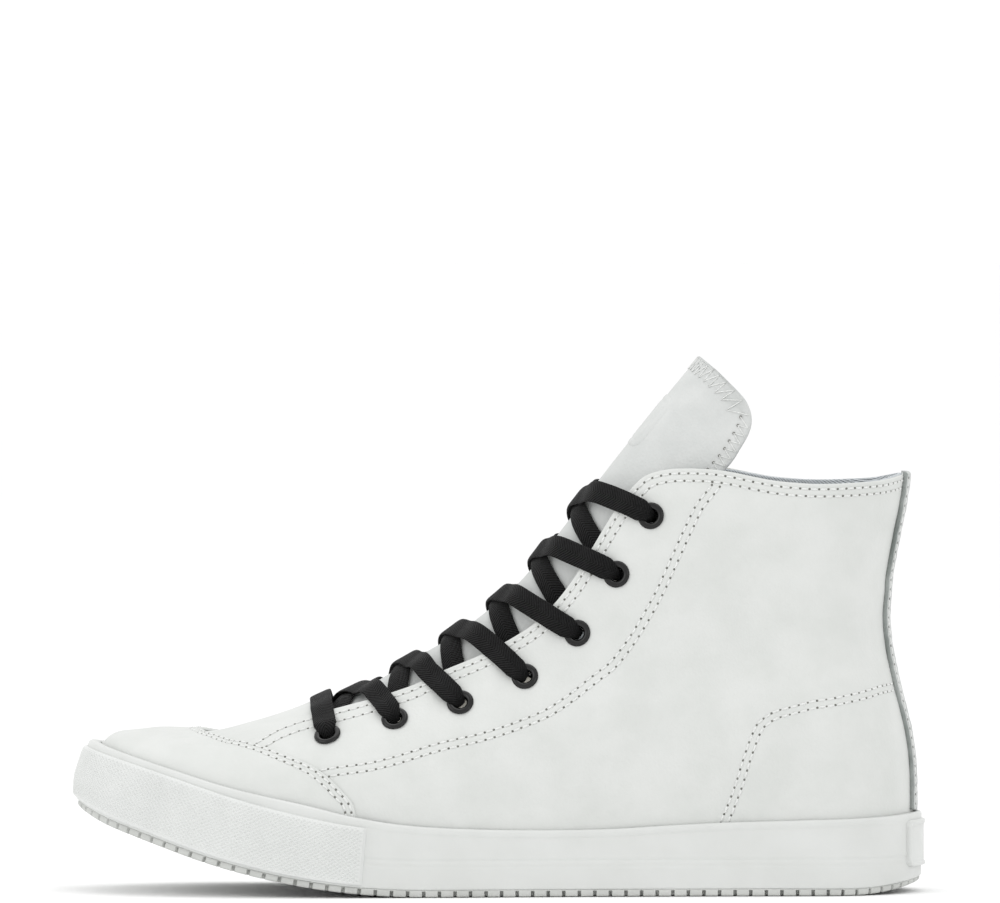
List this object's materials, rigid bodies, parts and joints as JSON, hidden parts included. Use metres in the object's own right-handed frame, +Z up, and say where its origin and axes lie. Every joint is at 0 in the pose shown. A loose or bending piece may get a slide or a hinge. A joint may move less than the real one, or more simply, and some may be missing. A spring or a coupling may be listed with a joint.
{
  "type": "high-top basketball sneaker",
  "caption": "White leather high-top lace-up sneaker with a smooth toe cap, black laces in metal eyelets and a vulcanised rubber sole with a textured toe bumper.",
  "frame": {"origin": "middle of the shoe's outline on the floor, at the bottom of the outsole", "axes": "+X towards the heel, -X towards the toe, +Y towards the inner (medial) side of the foot, +Z up"},
  "size_m": [0.2988, 0.1112, 0.1871],
  "materials": {
    "outsole_rubber": "matt white moulded rubber",
    "filler_rubber": "matt light grey foamed rubber",
    "foxing_rubber": "smooth semi-matt white rubber",
    "bumper_rubber": "white rubber with a moulded diamond pattern",
    "label_rubber": "smooth white rubber, blank",
    "insole_board": "matt pressed fibre board",
    "footbed_cloth": "dark woven cloth over foam",
    "leather": "smooth white leather with a fine grain",
    "strip_leather": "white leather with a raw edge",
    "tongue_leather": "white leather with an overlocked suede edge",
    "lining_cloth": "light grey-blue woven lining",
    "stay_cloth": "off-white cotton reinforcement",
    "stiffener": "matt thermoplastic stiffener",
    "eyelet_metal": "glossy black enamel over brass",
    "washer_metal": "glossy black enamel",
    "lace_cloth": "black flat woven cotton",
    "aglet_plastic": "glossy black plastic"
  },
  "bodies": {
    "shoe": {"outsole": "outsole_rubber", "midsole_filler": "filler_rubber", "foxing_tape": "foxing_rubber", "toe_bumper": "bumper_rubber", "heel_label": "label_rubber", "insole_board": "insole_board", "toe_cap": "leather", "toe_puff": "stiffener", "vamp": "leather", "vamp_lining": "lining_cloth", "quarter_lateral": "leather", "quarter_medial": "leather", "lining_lateral": "lining_cloth", "lining_medial": "lining_cloth", "eyestay_lateral": "stay_cloth", "eyestay_medial": "stay_cloth", "heel_patch_lateral": "stay_cloth", "heel_patch_medial": "stay_cloth", "back_strip": "strip_leather", "eyelets_lateral": "eyelet_metal", "eyelets_medial": "eyelet_metal", "eyelet_washers_lateral": "washer_metal", "eyelet_washers_medial": "washer_metal", "lace": "lace_cloth", "aglets": "aglet_plastic"},
    "tongue": {"tongue": "tongue_leather", "tongue_lining": "lining_cloth", "tongue_patch": "tongue_leather"},
    "footbed": {"footbed": "footbed_cloth"}
  },
  "joints": [
    {"name": "tongue_swing", "type": "hinge", "parent": "shoe", "child": "tongue", "pos_m": [-0.0713, 0.0015, 0.0593], "axis": [0, 1, 0], "range_deg": [0, 12], "stiffness_Nm_per_rad": 0.05},
    {"name": "footbed_lift", "type": "hinge", "parent": "shoe", "child": "footbed", "pos_m": [-0.1384, 0.0046, 0.0371], "axis": [0, -1, 0], "range_deg": [0, 4]}
  ]
}
